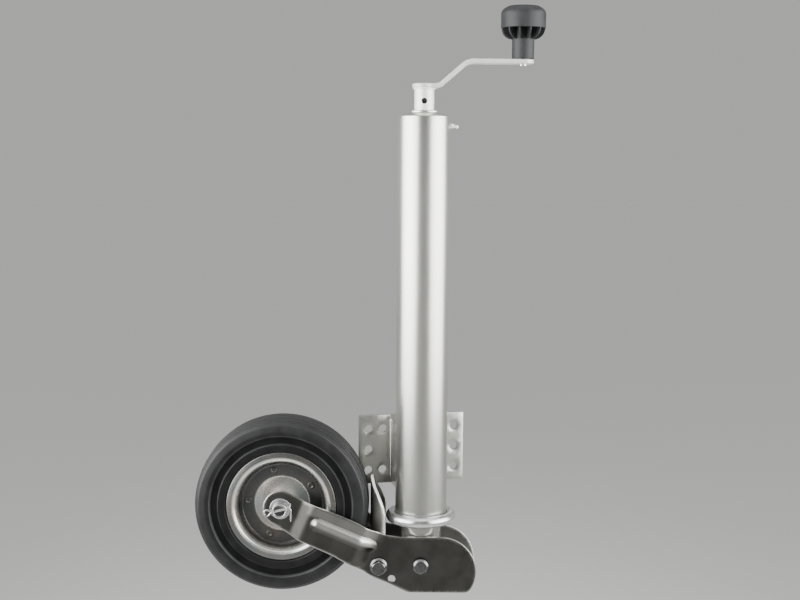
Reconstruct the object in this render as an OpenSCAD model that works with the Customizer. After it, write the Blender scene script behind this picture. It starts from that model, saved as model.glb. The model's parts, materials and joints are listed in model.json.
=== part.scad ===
// Trailer tongue jack with a folding wheel.
// Frame: the origin is the centre of the mounting plate's face, +Y points out of that face
// and +Z points up the tube. The lower end is drawn in a ground frame first: its origin is on
// the ground under the tube's axis, and the folded fork points to its -X.

/* [Tube] */
// Outer diameter of the outer tube
tube_d = 70; // [69:0.5:72]
// Wall of both tubes
tube_wall = 4; // [3:0.5:4.5]
// Height of the outer tube's lower end above the ground
tube_bottom = 98; // [96:1:104]
// Height of the outer tube's upper end above the ground
tube_top = 634; // [560:1:700]
// Outer diameter of the inner tube
ram_d = 55; // [52:0.5:56]

/* [Mounting plate] */
// Width of the plate
plate_w = 150; // [140:1:160]
// Height of the plate
plate_h = 97; // [84:1:110]
// Sheet thickness of the plate and its ribs
plate_t = 5; // [4:0.5:6]
// Distance from the tube's axis to the mounting face
stand_off = 65; // [62:0.5:75]
// Height of the plate's centre above the ground
plate_centre = 179; // [170:1:260]
// Diameter of the bolt holes
bolt_hole_d = 11; // [9:0.5:12]
// Distance between the outer columns of holes
outer_columns = 122; // [118:1:124]
// Distance between the inner columns of holes
inner_columns = 82; // [80:1:86]
// Distance between the top and bottom rows of holes
hole_rows = 58; // [50:1:64]

/* [Crank] */
// Distance from the tube's axis to the knob's axis
crank_reach = 129; // [110:1:180]
// Rise of the crank arm between its two flat ends
crank_rise = 32; // [25:1:55]
// Thickness of the crank arm
crank_t = 6; // [4:0.5:8]
// Diameter of the knob's cap
knob_d = 59; // [45:1:65]

/* [Fork] */
// Angle between the fork and the mounting plate
fork_turn = 12.5; // [8:0.5:12.5]
// Height of the pivot above the ground
pivot_height = 37.5; // [36:0.5:40]
// Sheet thickness of the fork plates
fork_t = 4; // [3:0.5:4]
// Half the gap between the plates at the pivot
fork_gap = 29; // [28.5:0.5:30]
// Half the gap between the plates beside the tyre
fork_gap_tyre = 40; // [38:0.5:42]

/* [Wheel] */
// Diameter of the tyre
tyre_d = 235; // [230:1:235]
// Width of the tyre
tyre_w = 70; // [60:1:72]
// Distance from the tube's axis to the axle, along the ground
axle_reach = 188; // [188:1:200]
// Diameter of the axle
axle_d = 20; // [18:1:22]

/* [Hidden] */
$fn = 64;

// Clearances
fit = 0.05;
gap = 0.3;
touch = 0.02;

// Tube
tube_r = tube_d / 2;
tube_bore_r = tube_r - tube_wall;
ram_r = ram_d / 2;
ram_bore_r = ram_r - tube_wall;
ram_bottom = 8;
ram_top = tube_top - 38;
collar_r = tube_r + 12.5;
collar_lip_r = 7.4;
collar_lip_z = tube_bottom + 1.2;
collar_skirt = 2.6;
groove_w = 8;
groove_depth = 1.5;
groove_bottom = tube_bottom + 247;
lower_bush_h = 36;
rib_x = 27;
nipple_z = tube_top - 8;
nipple_tilt = 10;
nipple_r = 2.5;
nipple_hex_r = 3.2;
nipple_neck_r = 2;
nipple_ball_r = 2.6;
nipple_ball_z = 8.2;
cap_dome = 9;
cap_boss_r = 19.5;
cap_boss_h = 2.5;
cap_top = tube_top + cap_dome + cap_boss_h;

// Spindle and its bearing, from the cap downwards
spindle_r = 10;
journal_r = 9;
race_r = 20;
ball_r = 3.175;
ball_circle_r = 15;
ball_count = 12;
race_top = tube_top - 3;
race_upper_bottom = race_top - 3.5;
race_lower_top = race_upper_bottom - 2 * ball_r - 2 * fit;
race_lower_bottom = race_lower_top - 3.5;
spindle_collar_h = 8;
spindle_shoulder = race_lower_bottom - spindle_collar_h;
spindle_bottom = tube_bottom + 224;

// Nut, from its shelf upwards
nut_shelf = ram_top - 36;
nut_shelf_h = 6;
nut_neck_r = 15;
nut_collar_r = 17;
nut_washer_z = nut_shelf + nut_shelf_h + fit;
nut_washer_h = 2;
nut_flange_z = nut_washer_z + nut_washer_h + touch;
nut_flange_h = 14;
guide_ring_z = ram_top + 2;
guide_ring_h = 9;

// Crank
sleeve_r = 13;
sleeve_bottom = cap_top + 0.5;
sleeve_h = 29;
roll_pin_r = 4;
roll_pin_bore_r = 2.7;
roll_pin_half = 11.6;
roll_pin_z = sleeve_bottom + 12;
arm_z = sleeve_bottom + sleeve_h;
arm_eye_r = 16;
arm_w = 27;
arm_end_r = 14.5;
arm_low_bend = 14;
arm_high_bend = 20;
arm_bend_x = 19.7;
crank_angle = 41;
knob_z = arm_z + crank_rise + crank_t + 0.5;
knob_h = 69;
knob_stem_r = 14.7;
knob_stem_h = 25.5;
knob_bowl_h = 14;
knob_edge_r = 9.5;
knob_recess_r = 9;
knob_wall = 4;
rivet_r = 4;
rivet_tip_r = 5.35;
rivet_head_r = 7;
rivet_head_h = 2.5;

// Fork, measured from the pivot along the arm
arm_drop = tyre_d / 2 - pivot_height;
arm_angle = atan2(arm_drop, axle_reach);
arm_length = norm([axle_reach, arm_drop]);
fork_eye_r = 23.5;
fork_gap_axle = 35;
flare_start = 70;
flare_end = 88;
crease_tyre = 160;
crease_axle = 184;
cam_centre = [27.5, 29.5];
cam_r = 47.5;
cam_corner_r = 12;
cam_corner_x = cam_centre.x + sqrt(pow(cam_r - cam_corner_r, 2) - pow(cam_centre.y - cam_corner_r, 2));
cam_corner_angle = asin((cam_corner_r - cam_centre.y) / (cam_r - cam_corner_r));
bead_start = 79;
bead_end = 149;
bead_r = 9;
bead_h = 4.5;
pivot_r = 8;
pivot_head_r = 11;
pivot_head_h = 4;
pivot_nut_corner_r = 13.3;
stop_at = [-56.5, 37];
stop_r = 5;
stop_flange_r = 12;
stop_flange_h = 3.5;
stop_head_r = 9.5;
stop_head_h = 12;
stop_nut_corner_r = 9.8;
spacer_wall = 3.5;
nut_h = 8;
bolt_end = 10;
lock_hole_at = [-39, 19.5];
lock_hole_r = 4.25;
tongue_r = 38.2;
tongue_centre_x = -30.3;
tongue_top = 160;
tongue_bottom = 60;

// Axle and wheel, measured from the axle along its axis
axle_r = axle_d / 2;
axle_bore_r = 7.5;
axle_half = 54;
axle_washer_r = 14;
axle_washer_t = 3;
cotter_y = 48.5;
cotter_r = 1.6;
cotter_tilt = 13;
cotter_eye_x = -17.5;
cotter_eye_r = 4;
cotter_bend_x = 13.5;
cotter_leg = 19;
cotter_leg_turn = 20;
tyre_r = tyre_d / 2;
tyre_half = tyre_w / 2;
rim_r = 74;
rim_t = 1.6;
web_s = 12;
rivet_circle_r = 46;
rivet_count = 5;
hub_r = 14;
hub_half = 34;
hub_bore_r = 12;
bush_l = 20;
clinch_r = 3;
clinch_head_r = 5.5;
clinch_head_h = 1.2;
clinch_spacer_r = 5;
clinch_start = 32;

// ---------------------------------------------------------------- helpers

// Points of an arc about a centre, from angle a to angle b, in n steps
function arc(centre, r, a, b, n = 8) =
    [for (i = [0:n]) centre + r * [cos(a + (b - a) * i / n), sin(a + (b - a) * i / n)]];

// The part's frame, seen from the ground under the tube
module from_ground() translate([0, -stand_off, -plate_centre]) children();

// The same, turned to the fork and the crank
module from_fork() from_ground() rotate([0, 0, -fork_turn]) children();

// The pivot, with X along the arm towards the axle, Y to the near side and Z square to the arm
module along_arm() translate([0, 0, pivot_height]) rotate([0, -arm_angle, 180]) children();

// The axle, with its axis along Z; Z points to the near side
module on_axle() from_fork() translate([-axle_reach, 0, tyre_r]) rotate([90, 0, 0]) children();

// A ring standing on z
module ring(outer_r, inner_r, z, h) {
    translate([0, 0, z]) difference() {
        cylinder(r = outer_r, h = h);
        translate([0, 0, -1]) cylinder(r = inner_r, h = h + 2);
    }
}

// A rod along Y through [x, z], from y0 to y1
module rod(at, r, y0, y1) {
    translate([at.x, y1, at.y]) rotate([90, 0, 0]) cylinder(r = r, h = y1 - y0);
}

// Both sides of the fork
module both_sides() {
    children();
    mirror([0, 1, 0]) children();
}

// ---------------------------------------------------------------- outer body

module outer_tube() color("silver") from_ground() difference() {
    ring(tube_r, tube_bore_r, tube_bottom, tube_top - tube_bottom);
    translate([-groove_w / 2, 0, groove_bottom])
        cube([groove_w, tube_bore_r + groove_depth, tube_top]);
    rotate([0, 0, -fork_turn]) nipple_axis() cylinder(r = nipple_r + fit, h = 20, center = true);
}

module nipple_axis() translate([tube_r, 0, nipple_z]) rotate([0, 90 + nipple_tilt, 0]) children();

module top_cap() color("silver") from_ground() rotate_extrude() difference() {
    union() {
        polygon(concat(
            [[0, tube_top], [tube_r, tube_top]],
            arc([tube_r - 5, tube_top + 1], 5, 0, 70),
            [[cap_boss_r, tube_top + cap_dome], [cap_boss_r, cap_top], [0, cap_top]]
        ));
        translate([0, race_top]) square([tube_bore_r - fit, tube_top - race_top + 1]);
    }
    translate([0, race_top - 1]) square([journal_r + fit, cap_top]);
}

// A rolled lip round the tube's end, with a flat ring under the tube
module guide_collar() color("gainsboro") from_ground() rotate_extrude() difference() {
    union() {
        translate([collar_r - collar_lip_r, collar_lip_z]) circle(r = collar_lip_r);
        translate([ram_r + fit, tube_bottom - collar_skirt])
            square([collar_r - collar_lip_r - ram_r - fit, collar_skirt]);
    }
    translate([0, tube_bottom - touch]) square([tube_r + touch, 2 * collar_lip_r]);
}

module lower_guide_bush() color("ivory") from_ground()
    ring(tube_bore_r - touch, ram_r + fit, tube_bottom, lower_bush_h);

module mounting_plate() color("silver") difference() {
    translate([-plate_w / 2, -plate_t, -plate_h / 2]) cube([plate_w, plate_t, plate_h]);
    for (x = [-1, 1], z = [-1, 1]) {
        bolt_hole(x * outer_columns / 2, z * hole_rows / 2);
        bolt_hole(x * inner_columns / 2, z * hole_rows / 2);
    }
    for (x = [-1, 1]) bolt_hole(x * outer_columns / 2, 0);
}

module bolt_hole(x, z) rod([x, z], bolt_hole_d / 2, -plate_t - 1, 1);

module plate_ribs() color("silver") difference() {
    for (side = [-1, 1]) translate([side * rib_x - plate_t / 2, -stand_off + tube_r / 2, -plate_h / 2])
        cube([plate_t, stand_off - tube_r / 2 - plate_t, plate_h]);
    translate([0, -stand_off, -plate_h]) cylinder(r = tube_r + touch, h = 2 * plate_h);
}

module grease_nipple() color("gainsboro") from_fork() nipple_axis() {
    translate([0, 0, -3]) cylinder(r = nipple_r, h = 6);
    translate([0, 0, 1.2]) cylinder(r = nipple_hex_r, h = 3, $fn = 6);
    cylinder(r = nipple_neck_r, h = nipple_ball_z);
    translate([0, 0, nipple_ball_z]) sphere(r = nipple_ball_r);
}

module thrust_race_upper() color("gray") from_ground()
    ring(race_r, journal_r + 0.5, race_upper_bottom, race_top - race_upper_bottom - touch);

module thrust_balls() color("gainsboro") from_ground()
    for (i = [1:ball_count]) rotate([0, 0, i * 360 / ball_count])
        translate([ball_circle_r, 0, race_lower_top + fit + ball_r]) sphere(r = ball_r);

// ---------------------------------------------------------------- crank

module spindle() color("gray") from_ground() difference() {
    union() {
        translate([0, 0, spindle_bottom]) cylinder(r = spindle_r, h = spindle_shoulder - spindle_bottom - touch);
        translate([0, 0, spindle_shoulder - 1]) cylinder(r = journal_r, h = arm_z - spindle_shoulder);
    }
    rotate([0, 0, -fork_turn]) rod([0, roll_pin_z], roll_pin_r + touch, -20, 20);
}

module spindle_collar() color("gray") from_ground()
    ring(nut_collar_r, journal_r + touch, spindle_shoulder, spindle_collar_h - touch);

module thrust_race_lower() color("gray") from_ground()
    ring(race_r, journal_r + touch, race_lower_bottom, race_lower_top - race_lower_bottom);

module crank_sleeve() color("silver") from_fork() difference() {
    ring(sleeve_r, journal_r + touch, sleeve_bottom, sleeve_h - touch);
    rod([0, roll_pin_z], roll_pin_r + touch, -20, 20);
}

module roll_pin() color("dimgray") from_fork() difference() {
    rod([0, roll_pin_z], roll_pin_r, -roll_pin_half, roll_pin_half);
    rod([0, roll_pin_z], roll_pin_bore_r, -sleeve_r, sleeve_r);
}

// Side view of the arm: a flat bar with two bends
module arm_profile() {
    low = arm_z + crank_t / 2;
    bend = tan(crank_angle / 2);
    x1 = arm_bend_x - arm_low_bend * bend;
    x2 = arm_bend_x + crank_rise / tan(crank_angle) + arm_high_bend * bend;
    c1 = [x1, low + arm_low_bend];
    c2 = [x2, low + crank_rise - arm_high_bend];
    h = crank_t / 2;
    polygon(concat(
        [[-arm_eye_r - 1, low - h]],
        arc(c1, arm_low_bend + h, -90, crank_angle - 90),
        arc(c2, arm_high_bend - h, 90 + crank_angle, 90),
        [[crank_reach + 20, low + crank_rise - h], [crank_reach + 20, low + crank_rise + h]],
        arc(c2, arm_high_bend + h, 90, 90 + crank_angle),
        arc(c1, arm_low_bend - h, crank_angle - 90, -90),
        [[-arm_eye_r - 1, low + h]]
    ));
}

module crank_arm() color("silver") from_fork() difference() {
    intersection() {
        rotate([90, 0, 0]) linear_extrude(height = 2 * arm_eye_r + 2, center = true) arm_profile();
        translate([0, 0, arm_z - 5]) linear_extrude(height = crank_rise + crank_t + 10) {
            circle(r = arm_eye_r);
            translate([0, -arm_w / 2]) square([crank_reach, arm_w]);
            translate([crank_reach, 0]) circle(r = arm_end_r);
        }
    }
    translate([crank_reach, 0, arm_z]) cylinder(r = rivet_r + touch, h = crank_rise + 2 * crank_t);
}

module at_knob() from_fork() translate([crank_reach, 0, knob_z]) children();

module knob_rivet() color("gainsboro") at_knob() {
    under = -crank_t - 0.5 - touch;
    translate([0, 0, under - 2.5]) cylinder(r = rivet_tip_r, h = 2.5);
    translate([0, 0, under - 1]) cylinder(r = rivet_r, h = knob_stem_h + 10);
    translate([0, 0, knob_stem_h + 0.9]) cylinder(r = rivet_head_r, h = rivet_head_h);
}

module knob_washer() color("gainsboro") at_knob() ring(9, rivet_r + touch, -0.5 + touch, 0.44);

module knob_body() color("#202224") at_knob() rotate_extrude() difference() {
    polygon(concat(
        [[0, 0], [knob_stem_r - 0.5, 0], [knob_stem_r, 0.5], [knob_stem_r, knob_stem_h]],
        [for (i = [1:8]) [
            knob_stem_r + (knob_d / 2 - 0.5 - knob_stem_r) * sin(i * 90 / 8),
            knob_stem_h + knob_bowl_h * (1 - cos(i * 90 / 8))
        ]],
        [[0, knob_stem_h + knob_bowl_h]]
    ));
    translate([0, -1]) square([rivet_r + fit, knob_h]);
    translate([0, knob_stem_h + 0.8]) square([knob_recess_r, knob_h]);
}

module knob_cap() color("#303234") at_knob() rotate_extrude() difference() {
    polygon(concat(
        [[0, knob_stem_h + knob_bowl_h + touch], [knob_d / 2, knob_stem_h + knob_bowl_h + touch]],
        arc([knob_d / 2 - knob_edge_r, knob_h - knob_edge_r], knob_edge_r, 0, 90),
        [[0, knob_h]]
    ));
    square([knob_d / 2 - knob_wall, knob_h - knob_wall - 1]);
}

// ---------------------------------------------------------------- nut carriage

module spindle_nut() color("goldenrod") from_ground() difference() {
    union() {
        translate([0, 0, nut_shelf - 18]) cylinder(r = nut_neck_r, h = guide_ring_z + guide_ring_h - nut_shelf + 18);
        translate([0, 0, nut_flange_z]) cylinder(r = ram_bore_r - 0.6, h = nut_flange_h);
        translate([0, 0, nut_flange_z]) cylinder(r = nut_collar_r, h = guide_ring_z + guide_ring_h - nut_flange_z);
    }
    translate([0, 0, nut_shelf - 20]) cylinder(r = spindle_r + fit, h = 100);
}

module guide_ring() color("dimgray") from_ground() {
    difference() {
        union() {
            translate([0, 0, guide_ring_z]) cylinder(r = tube_bore_r - fit, h = guide_ring_h);
            translate([fit - groove_w / 2, 0, guide_ring_z])
                cube([groove_w - 2 * fit, tube_bore_r + groove_depth - 0.2, guide_ring_h]);
        }
        translate([0, 0, guide_ring_z - 1]) cylinder(r = nut_collar_r + touch, h = guide_ring_h + 2);
    }
}

module nut_thrust_washer() color("darkgoldenrod") from_ground()
    ring(ram_bore_r - 1, nut_neck_r + touch, nut_washer_z, nut_washer_h);

// ---------------------------------------------------------------- inner tube

module inner_tube() color("gainsboro") from_fork() difference() {
    ring(ram_r, ram_bore_r, ram_bottom, ram_top - ram_bottom);
    rod([0, pivot_height], pivot_r + 2 + touch, -ram_r - 1, ram_r + 1);
}

module inner_tube_head() color("gray") from_fork()
    ring(ram_bore_r - touch, nut_neck_r + fit, nut_shelf, nut_shelf_h);

module nut_retaining_ring() color("dimgray") from_fork()
    ring(ram_bore_r - touch, nut_collar_r + 2, nut_flange_z + nut_flange_h + gap, 2.5);

module slide_ring() color("ivory") from_fork() ring(tube_bore_r - fit, ram_r + touch, ram_top - 26, 20);

module pivot_sleeve() color("gray") from_fork() difference() {
    rod([0, pivot_height], pivot_r + 2, gap - fork_gap, fork_gap - gap);
    rod([0, pivot_height], pivot_r + fit, -fork_gap, fork_gap);
}

module end_plug() color("gray") from_fork() translate([0, 0, ram_bottom]) cylinder(r = ram_bore_r - touch, h = 5);

// ---------------------------------------------------------------- fork

// Side view of a plate, from the foot of its lower edge round the cam and the axle's eye
module fork_outline() polygon(concat(
    [[-17, 0]],
    arc([cam_corner_x, cam_corner_r], cam_corner_r, -90, cam_corner_angle),
    arc(cam_centre, cam_r, cam_corner_angle, 90, 16),
    [[-27, 77], [-33, 77.5], [-47, 79.3], [-67, 88.5], [-83, 98], [-105, 107.7], [-155, 127]],
    arc([-axle_reach, tyre_r], fork_eye_r, 90 - arm_angle, 270 - arm_angle, 20),
    [[-165, 75], [-139, 63.5], [-118, 54], [-92, 39], [-66, 22], [-43, 12.5]]
));

module outline_prism() rotate([90, 0, 0]) linear_extrude(height = 200, center = true) fork_outline();

// Half of the fork seen square to the arm, moved outwards by d: it steps out beside the tyre
function band(d) = [
    [-100, fork_gap + d], [flare_start, fork_gap + d], [flare_end, fork_gap_tyre + d],
    [crease_tyre, fork_gap_tyre + d], [crease_axle, fork_gap_axle + d], [arm_length + 40, fork_gap_axle + d]
];

function reversed(list) = [for (i = [len(list) - 1:-1:0]) list[i]];

// A wall between two bands, on the near side
module band_wall(d0, d1) along_arm() linear_extrude(height = 400, center = true)
    polygon(concat(band(d0), reversed(band(d1))));

module bead(r) along_arm() translate([0, fork_gap_tyre + fork_t + bead_h - bead_r, 0]) {
    translate([bead_start, 0, 0]) rotate([0, 90, 0]) cylinder(r = r, h = bead_end - bead_start);
    for (a = [bead_start, bead_end]) translate([a, 0, 0]) sphere(r = r);
}

// The plate on the near side
module fork_plate() {
    difference() {
        union() {
            intersection() {
                outline_prism();
                band_wall(0, fork_t);
            }
            intersection() {
                bead(bead_r);
                band_wall(0.5, 30);
            }
        }
        bead(bead_r - fork_t);
        rod([0, pivot_height], pivot_r + fit, -100, 0);
        rod(stop_at, stop_r + fit, -100, 0);
        rod(lock_hole_at, lock_hole_r, -100, 0);
        rod([-axle_reach, tyre_r], axle_r + fit, -100, 0);
    }
}

module fork_plate_near() color("gray") from_fork() fork_plate();

module fork_plate_far() color("gray") from_fork() mirror([0, 1, 0]) fork_plate();

// Half-round in plan; its top edge falls from the middle to both sides, and it stands on the
// plates' top edges with a tab between them
module tongue_bracket() color("gray") from_fork() difference() {
    intersection() {
        translate([tongue_centre_x, 0, tongue_bottom]) cylinder(r = tongue_r, h = tongue_top);
        rotate([90, 0, 0]) linear_extrude(height = 100, center = true) polygon([
            [-80, tongue_bottom], [-48.5, tongue_bottom], [-48.5, 107], [-49.5, 113], [-50.8, 117],
            [-55, 127.5], [-63.1, 142.8], [-68, tongue_top], [-80, tongue_top]
        ]);
    }
    translate([tongue_centre_x, 0, 0]) cylinder(r = tongue_r - fork_t, h = 2 * tongue_top);
    both_sides() intersection() {
        outline_prism();
        translate([-100, fork_gap - touch, 0]) cube([100, 100, 200]);
    }
}

module pivot_bolt() color("gainsboro") from_fork() {
    face = -fork_gap - fork_t - touch;
    rod([0, pivot_height], pivot_r, face - 1, -face + bolt_end);
    rod([0, pivot_height], pivot_head_r, face - pivot_head_h, face);
    translate([0, face - pivot_head_h, pivot_height]) rotate([90, 0, 0])
        cylinder(r1 = pivot_head_r, r2 = pivot_head_r - 2.5, h = 3);
}

module pivot_nut() color("gainsboro") from_fork() hex_nut([0, pivot_height], pivot_nut_corner_r, pivot_r + touch);

// A nut on the far plate's face
module hex_nut(at, corner_r, bore_r) translate([at.x, fork_gap + fork_t + touch, at.y])
    rotate([-90, 0, 0]) difference() {
        cylinder(r = corner_r, h = nut_h, $fn = 6);
        translate([0, 0, -1]) cylinder(r = bore_r, h = nut_h + 2);
    }

module stop_bolt() color("gainsboro") from_fork() {
    face = -fork_gap - fork_t - touch;
    rod(stop_at, stop_r, face - 1, -face + bolt_end);
    rod(stop_at, stop_flange_r, face - stop_flange_h, face);
    rod(stop_at, stop_head_r, face - stop_head_h, face - stop_flange_h + 0.5);
}

module stop_nut() color("gainsboro") from_fork() hex_nut(stop_at, stop_nut_corner_r, stop_r + touch);

module stop_spacer() color("gray") from_fork() difference() {
    rod(stop_at, stop_r + spacer_wall, touch - fork_gap, fork_gap - touch);
    rod(stop_at, stop_r + touch, -fork_gap, fork_gap);
}

module axle_tube() color("gainsboro") on_axle() difference() {
    cylinder(r = axle_r, h = 2 * axle_half, center = true);
    cylinder(r = axle_bore_r, h = 3 * axle_half, center = true);
    for (side = [-1, 1]) translate([0, 0, side * cotter_y]) rotate([0, 90, cotter_tilt])
        cylinder(r = cotter_r + fit, h = 4 * axle_r, center = true);
}

module axle_washers() color("gainsboro") on_axle() for (side = [0, 1]) mirror([0, 0, side])
    ring(axle_washer_r, axle_r + touch, fork_gap_axle + fork_t + touch, axle_washer_t);

// A cotter pin in the near end of the axle, with its eye towards -X
module cotter_pin() translate([0, 0, cotter_y]) rotate([0, 0, cotter_tilt]) {
    shank_x = cotter_eye_x + cotter_eye_r - 1.5;
    translate([shank_x, 0, 0]) rotate([0, 90, 0]) cylinder(r = cotter_r, h = cotter_bend_x - shank_x);
    translate([cotter_eye_x, 0, 0]) rotate_extrude() translate([cotter_eye_r, 0]) circle(r = cotter_r);
    translate([cotter_bend_x, 0, 0]) sphere(r = cotter_r);
    translate([cotter_bend_x, 0, 0]) rotate([90, 0, -cotter_leg_turn]) cylinder(r = cotter_r, h = cotter_leg);
}

module cotter_pin_near() color("gainsboro") on_axle() cotter_pin();

module cotter_pin_far() color("gainsboro") on_axle() mirror([0, 0, 1]) cotter_pin();

// ---------------------------------------------------------------- wheel

// Half of a section, as [distance from the axle, distance from the middle]
tyre_half_section = concat(
    [[60, 0], [60, 17.5], [62.4, 24.6], [64.7, 28], [66, 28.9], [73, 28], [74.5, 28.2]],
    [[74.5, tyre_half - 4.2], [76, tyre_half - 3.2], [85, tyre_half - 2.2]],
    [[85.6, tyre_half - 4], [95.4, tyre_half - 3.6], [96, tyre_half - 0.6], [100, tyre_half]],
    arc([tyre_r - 14.5, tyre_half - 12], 12, 90, 40),
    [[tyre_r - 3.2, tyre_half - 8], [tyre_r - 1, tyre_half - 18], [tyre_r, 0]]
);

rim_section = [
    [rim_r, 30], [66, 31.5], [63, 30.2], [60.5, 26.5], [57, 16], [54, web_s], [37.5, web_s],
    [36.4, 10.2], [26, 8.8], [hub_r + touch, 7.6]
];

module tyre() color("#2a2b2d") on_axle() rotate_extrude($fn = 96) polygon(concat(
    tyre_half_section, reversed([for (p = tyre_half_section) [p.x, -p.y]])
));

module rim_half() difference() {
    rotate_extrude($fn = 96) polygon(concat(
        rim_section, reversed([for (p = rim_section) [min(p.x + rim_t, rim_r), p.y - rim_t]])
    ));
    for (i = [1:rivet_count]) rivet_place(i) cylinder(r = clinch_r, h = 3 * web_s, center = true);
}

module rivet_place(i) rotate([0, 0, clinch_start + i * 360 / rivet_count]) translate([rivet_circle_r, 0, 0]) children();

module rim_half_near() color("silver") on_axle() rim_half();

module rim_half_far() color("silver") on_axle() mirror([0, 0, 1]) rim_half();

module rim_rivets() color("silver") on_axle() for (i = [1:rivet_count]) rivet_place(i) {
    cylinder(r = clinch_spacer_r, h = 2 * (web_s - rim_t - touch), center = true);
    cylinder(r = clinch_r - touch, h = 2 * web_s + 1, center = true);
    for (side = [0, 1]) mirror([0, 0, side]) translate([0, 0, web_s + touch])
        cylinder(r = clinch_head_r, h = clinch_head_h);
}

module hub_tube() color("silver") on_axle() ring(hub_r, hub_bore_r, -hub_half, 2 * hub_half);

module hub_bushes() color("ivory") on_axle() for (side = [0, 1]) mirror([0, 0, side])
    ring(hub_bore_r - touch, axle_r + fit, hub_half - bush_l, bush_l);

// ---------------------------------------------------------------- nodes

outer_tube();
top_cap();
guide_collar();
lower_guide_bush();
mounting_plate();
plate_ribs();
grease_nipple();
thrust_race_upper();
thrust_balls();
spindle();
spindle_collar();
thrust_race_lower();
crank_sleeve();
roll_pin();
crank_arm();
knob_rivet();
knob_washer();
knob_body();
knob_cap();
spindle_nut();
guide_ring();
nut_thrust_washer();
inner_tube();
inner_tube_head();
nut_retaining_ring();
slide_ring();
pivot_sleeve();
end_plug();
fork_plate_near();
fork_plate_far();
tongue_bracket();
pivot_bolt();
pivot_nut();
stop_bolt();
stop_nut();
stop_spacer();
axle_tube();
axle_washers();
cotter_pin_near();
cotter_pin_far();
tyre();
rim_half_near();
rim_half_far();
rim_rivets();
hub_tube();
hub_bushes();
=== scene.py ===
"""Trailer tongue jack: the looks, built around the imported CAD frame.

Shapes are drawn in millimetres, each in a small frame of its own: the tube's, the plate's, the fork's,
the arm's, the axle's or the knob's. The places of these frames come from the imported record's joints
and the CAD boxes. A piece's mesh is then in the model's own frame, in metres, like the CAD nodes.
"""
import json
import math

import bmesh
import bpy
import numpy as np
from mathutils import Matrix, Vector
from mathutils.geometry import delaunay_2d_cdt

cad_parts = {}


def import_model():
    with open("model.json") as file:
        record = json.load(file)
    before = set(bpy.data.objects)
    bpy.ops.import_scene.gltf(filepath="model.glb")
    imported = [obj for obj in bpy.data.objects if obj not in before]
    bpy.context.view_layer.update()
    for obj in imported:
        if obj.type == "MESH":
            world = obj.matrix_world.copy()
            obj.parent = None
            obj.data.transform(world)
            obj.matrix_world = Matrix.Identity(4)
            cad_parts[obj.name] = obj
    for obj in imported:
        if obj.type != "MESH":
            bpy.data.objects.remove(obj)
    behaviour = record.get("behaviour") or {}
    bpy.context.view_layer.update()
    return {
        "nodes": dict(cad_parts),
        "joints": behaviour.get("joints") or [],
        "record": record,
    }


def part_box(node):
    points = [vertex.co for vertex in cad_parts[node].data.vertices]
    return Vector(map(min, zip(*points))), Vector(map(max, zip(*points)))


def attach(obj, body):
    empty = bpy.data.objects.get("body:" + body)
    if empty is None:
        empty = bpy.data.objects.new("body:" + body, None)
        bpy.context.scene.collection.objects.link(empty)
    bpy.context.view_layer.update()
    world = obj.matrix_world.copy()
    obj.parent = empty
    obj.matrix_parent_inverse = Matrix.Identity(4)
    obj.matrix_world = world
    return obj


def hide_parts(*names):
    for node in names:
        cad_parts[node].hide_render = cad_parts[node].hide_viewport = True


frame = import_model()

# ---------------------------------------------------------------- frames

MM = 0.001
QUARTER, HALF_TURN, FULL_TURN = math.pi / 2, math.pi, 2 * math.pi
joints = {j["name"]: j for j in frame["joints"]}
away = Vector(joints["wheel_spin"]["axis"])
axle_at = Vector(joints["wheel_spin"]["pos_m"])
pivot_at = Vector(joints["fork_fold"]["pos_m"])
knob_at = Vector(joints["knob_spin"]["pos_m"])
tube_low, tube_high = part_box("outer_tube")
ground_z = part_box("tyre")[0].z

scale = Matrix.Scale(MM, 4)
turn = Matrix.Rotation(math.atan2(-away.x, away.y), 4, "Z")
foot = Matrix.Translation(((tube_low.x + tube_high.x) / 2, (tube_low.y + tube_high.y) / 2, ground_z))
TUBE = foot @ scale
FORK = foot @ turn @ scale
AXLE = Matrix.Translation(axle_at) @ turn @ Matrix.Rotation(QUARTER, 4, "X") @ scale
AXLE_FAR = AXLE @ Matrix.Rotation(HALF_TURN, 4, "Y")
KNOB = Matrix.Translation((knob_at.x, knob_at.y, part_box("knob_body")[0].z)) @ turn @ scale
PLATE = scale.copy()

arm_x = (axle_at - pivot_at).normalized()
arm_y = -away
arm_z = arm_x.cross(arm_y)
ARM = Matrix.Translation(pivot_at) @ Matrix((arm_x, arm_y, arm_z)).transposed().to_4x4() @ scale


def height(node, end):
    """Lowest (0) or highest (1) point of a CAD node, in mm above the ground."""
    return (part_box(node)[end].z - ground_z) / MM


# ---------------------------------------------------------------- outlines


def arc(cx, cy, r, start, end, steps):
    """Points of an arc, with its ends in degrees."""
    angles = [math.radians(start + (end - start) * i / steps) for i in range(steps + 1)]
    return [(cx + r * math.cos(a), cy + r * math.sin(a)) for a in angles]


def circle(cx, cy, r, steps):
    return arc(cx, cy, r, 0, 360, steps)[:-1]


TINY = 1e-6
NEARLY_STRAIGHT = math.radians(88)
MOST_OF_SIDE = 0.48


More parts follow.
